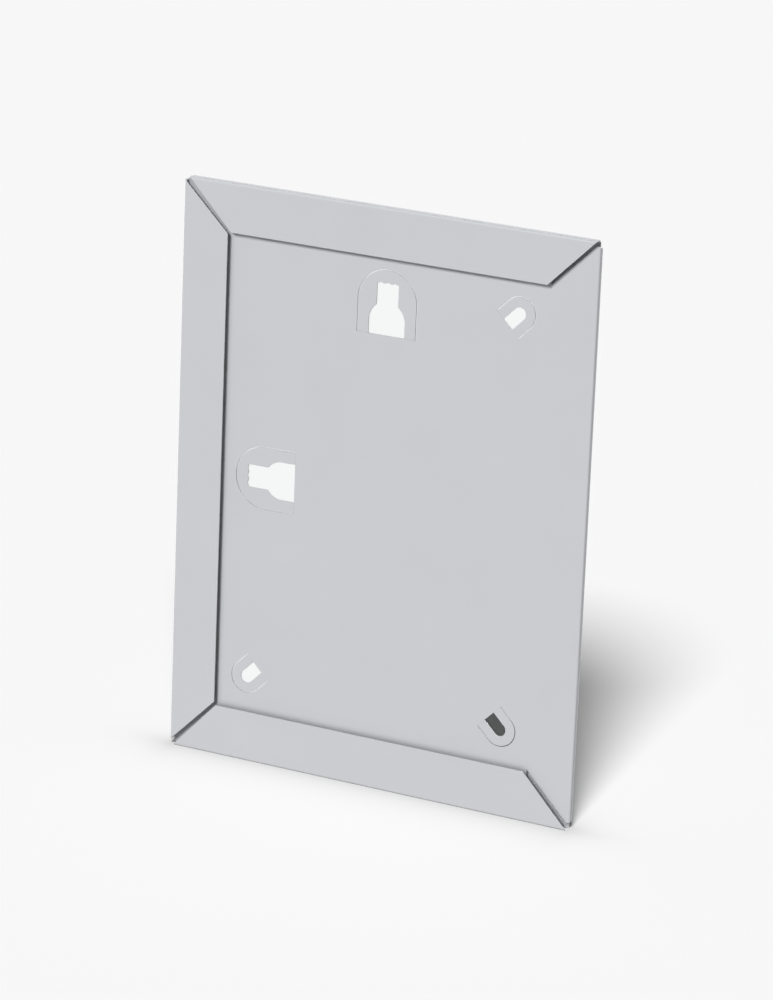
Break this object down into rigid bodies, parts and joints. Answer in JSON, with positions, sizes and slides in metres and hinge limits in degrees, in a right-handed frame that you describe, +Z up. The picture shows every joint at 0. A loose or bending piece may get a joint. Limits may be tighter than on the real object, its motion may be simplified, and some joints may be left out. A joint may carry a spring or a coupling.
{
  "type": "picture frame",
  "caption": "Thin sheet-metal picture frame with mitred back flanges and a back plate that slides out to one side; hanger and spacer tabs bend out of the plate.",
  "frame": {"origin": "under the middle of the bottom edge, halfway through the depth", "axes": "+Z up in portrait, +Y out of the back, +X along the width away from the side that opens"},
  "size_m": [0.1534, 0.0032, 0.2036],
  "materials": {
    "painted_sheet": "satin light grey coating on thin steel sheet",
    "clear_sheet": "clear, polished"
  },
  "bodies": {
    "front": {"front_frame": "painted_sheet", "glazing": "clear_sheet"},
    "back_plate": {"back_plate": "painted_sheet"},
    "portrait_hanger": {"portrait_hanger_tab": "painted_sheet"},
    "landscape_hanger": {"landscape_hanger_tab": "painted_sheet"},
    "spacer_top_right": {"spacer_tab_top_right": "painted_sheet"},
    "spacer_bottom_left": {"spacer_tab_bottom_left": "painted_sheet"},
    "spacer_bottom_right": {"spacer_tab_bottom_right": "painted_sheet"}
  },
  "joints": [
    {"name": "back_slide", "type": "slide", "parent": "front", "child": "back_plate", "axis": [-1, 0, 0], "range_m": [0, 0.15]},
    {"name": "portrait_hanger_bend", "type": "hinge", "parent": "back_plate", "child": "portrait_hanger", "pos_m": [-0.00035, -0.00025, 0.15964], "axis": [-1, 0, 0], "range_deg": [0, 30]},
    {"name": "landscape_hanger_bend", "type": "hinge", "parent": "back_plate", "child": "landscape_hanger", "pos_m": [0.03204, -0.00025, 0.1024], "axis": [0, 0, 1], "range_deg": [0, 30]},
    {"name": "spacer_top_right_bend", "type": "hinge", "parent": "back_plate", "child": "spacer_top_right", "pos_m": [-0.04475, -0.00025, 0.17065], "axis": [-0.7071, 0, -0.7071], "range_deg": [0, 90]},
    {"name": "spacer_bottom_left_bend", "type": "hinge", "parent": "back_plate", "child": "spacer_bottom_left", "pos_m": [0.04405, -0.00025, 0.03415], "axis": [0.7071, 0, 0.7071], "range_deg": [0, 90]},
    {"name": "spacer_bottom_right_bend", "type": "hinge", "parent": "back_plate", "child": "spacer_bottom_right", "pos_m": [-0.04475, -0.00025, 0.03415], "axis": [0.7071, 0, -0.7071], "range_deg": [0, 90]}
  ]
}
